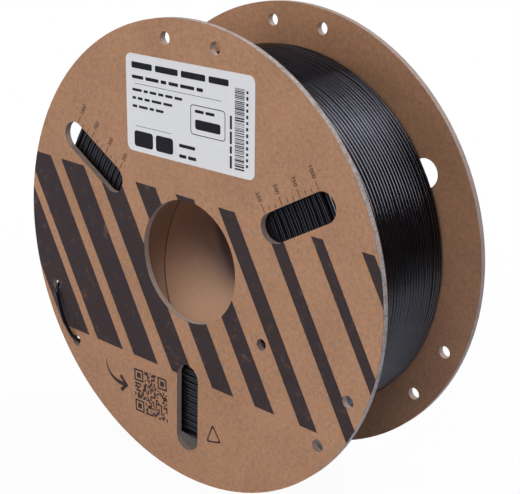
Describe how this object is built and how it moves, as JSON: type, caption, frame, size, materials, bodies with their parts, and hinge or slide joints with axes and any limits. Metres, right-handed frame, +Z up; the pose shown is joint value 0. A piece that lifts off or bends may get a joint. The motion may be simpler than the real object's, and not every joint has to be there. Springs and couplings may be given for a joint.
{
  "type": "filament spool",
  "caption": "Cardboard spool full of black printing filament: lined board flanges on a wound paper core, with the free end threaded through the rim.",
  "frame": {"origin": "on the spool's axis, halfway between the outer faces of the two flanges", "axes": "+Y along the axis from the printed front flange to the rear flange, +Z up through the label, with the spool standing on its rims, +X to the right when the front is faced"},
  "size_m": [0.2, 0.071, 0.2],
  "materials": {
    "kraft_liner": "matt unbleached kraft with fine fibres",
    "greyboard": "raw cut edge, in thin plies",
    "tube_paper": "smooth brown tube paper",
    "glue": "set adhesive",
    "filament": "glossy black plastic",
    "label_paper": "satin white label stock"
  },
  "bodies": {
    "root": {"front_outer_liner": "kraft_liner", "front_board": "greyboard", "front_inner_liner": "kraft_liner", "rear_inner_liner": "kraft_liner", "rear_board": "greyboard", "rear_outer_liner": "kraft_liner", "core_inner_ply": "tube_paper", "core_body_plies": "greyboard", "core_outer_ply": "tube_paper", "front_glue_ring": "glue", "rear_glue_ring": "glue", "filament_inner_layers": "filament", "filament_outer_layer": "filament", "filament_tail": "filament", "filament_start": "filament", "spool_label": "label_paper"}
  },
  "joints": []
}
